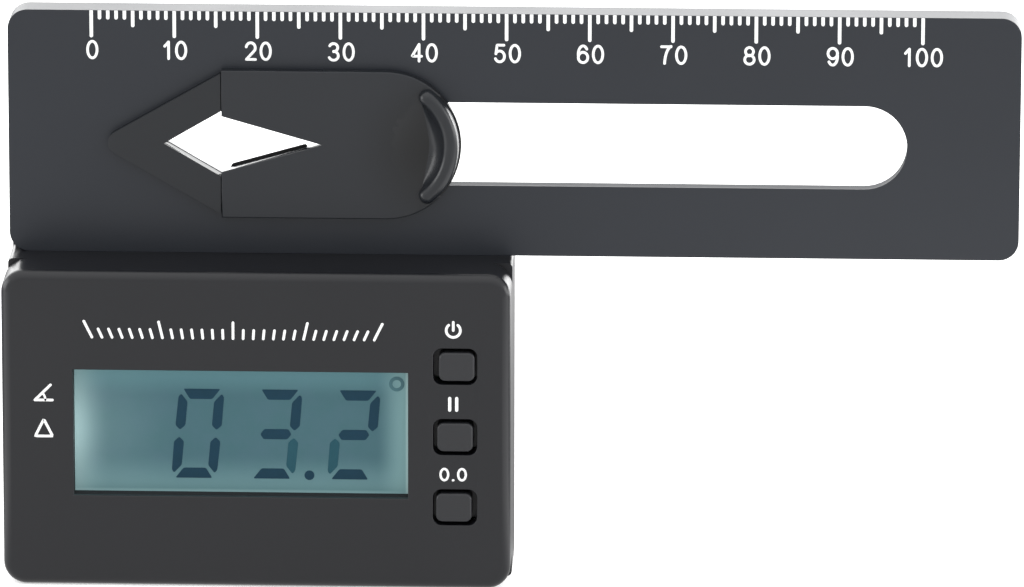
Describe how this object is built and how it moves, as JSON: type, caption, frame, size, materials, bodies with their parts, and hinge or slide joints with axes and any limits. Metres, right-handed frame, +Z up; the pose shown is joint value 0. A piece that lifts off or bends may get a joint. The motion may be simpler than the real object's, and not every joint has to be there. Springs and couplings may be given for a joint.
{
  "type": "pitch gauge",
  "caption": "Slotted ruler with a fixed and a sliding V jaw that grips a rotor blade, standing on a case with a tilt display and push keys.",
  "frame": {"origin": "under the middle of the overall box, on the surface that the case stands on", "axes": "+X along the ruler towards its free end, +Y from the display to the rear cover, +Z up"},
  "size_m": [0.1224, 0.017, 0.0693],
  "materials": {
    "case_plastic": "black ABS, fine moulded texture",
    "plate_plastic": "black ABS plate, satin",
    "jaw_plastic": "black ABS, satin",
    "key_plastic": "black key caps",
    "lcd": "liquid crystal glass, teal",
    "light_guide": "clear acrylic, frosted",
    "lamp": "white lamp",
    "frame_white": "white moulded frame",
    "zebra": "conductive silicone",
    "board": "green solder resist",
    "epoxy": "black epoxy",
    "chip": "black chip body",
    "can": "tinned can",
    "ceramic": "ceramic",
    "switch_black": "black switch body",
    "plunger": "ivory plunger",
    "steel": "zinc plated steel",
    "cell": "nickel plated steel",
    "print_white": "white screen print",
    "lcd_ink": "dark liquid crystal segments",
    "contact": "plated spring brass"
  },
  "bodies": {
    "casing": {"front_shell": "case_plastic", "rear_cover": "case_plastic", "ruler_plate": "plate_plastic", "fixed_jaw": "jaw_plastic", "fixed_jaw_screw": "steel", "ruler_screws": "steel", "case_screws": "steel", "lcd_glass": "lcd", "lcd_backlight": "light_guide", "backlight_lamp": "lamp", "lcd_frame": "frame_white", "zebra_strip": "zebra", "main_board": "board", "board_screws": "steel", "controller_cap": "epoxy", "tilt_sensor": "chip", "crystal": "can", "capacitors": "ceramic", "resistors": "chip", "switch_bodies": "switch_black", "battery_cell": "cell", "positive_contact": "contact", "negative_contact": "contact"},
    "slider": {"sliding_jaw": "jaw_plastic", "slider_keeper": "jaw_plastic", "slider_spring": "steel", "keeper_screws": "steel"},
    "door": {"battery_door": "case_plastic"},
    "power_key": {"power_button": "key_plastic", "power_plunger": "plunger"},
    "hold_key": {"hold_button": "key_plastic", "hold_plunger": "plunger"},
    "zero_key": {"zero_button": "key_plastic", "zero_plunger": "plunger"}
  },
  "joints": [
    {"name": "jaw_slide", "type": "slide", "parent": "casing", "child": "slider", "axis": [1, 0, 0], "range_m": [0, 0.0544]},
    {"name": "power_press", "type": "slide", "parent": "casing", "child": "power_key", "axis": [0, 1, 0], "range_m": [0, 0.0005], "stiffness_N_per_m": 1200},
    {"name": "hold_press", "type": "slide", "parent": "casing", "child": "hold_key", "axis": [0, 1, 0], "range_m": [0, 0.0005], "stiffness_N_per_m": 1200},
    {"name": "zero_press", "type": "slide", "parent": "casing", "child": "zero_key", "axis": [0, 1, 0], "range_m": [0, 0.0005], "stiffness_N_per_m": 1200},
    {"name": "door_slide", "type": "slide", "parent": "casing", "child": "door", "axis": [1, 0, 0], "range_m": [0, 0.029]}
  ]
}
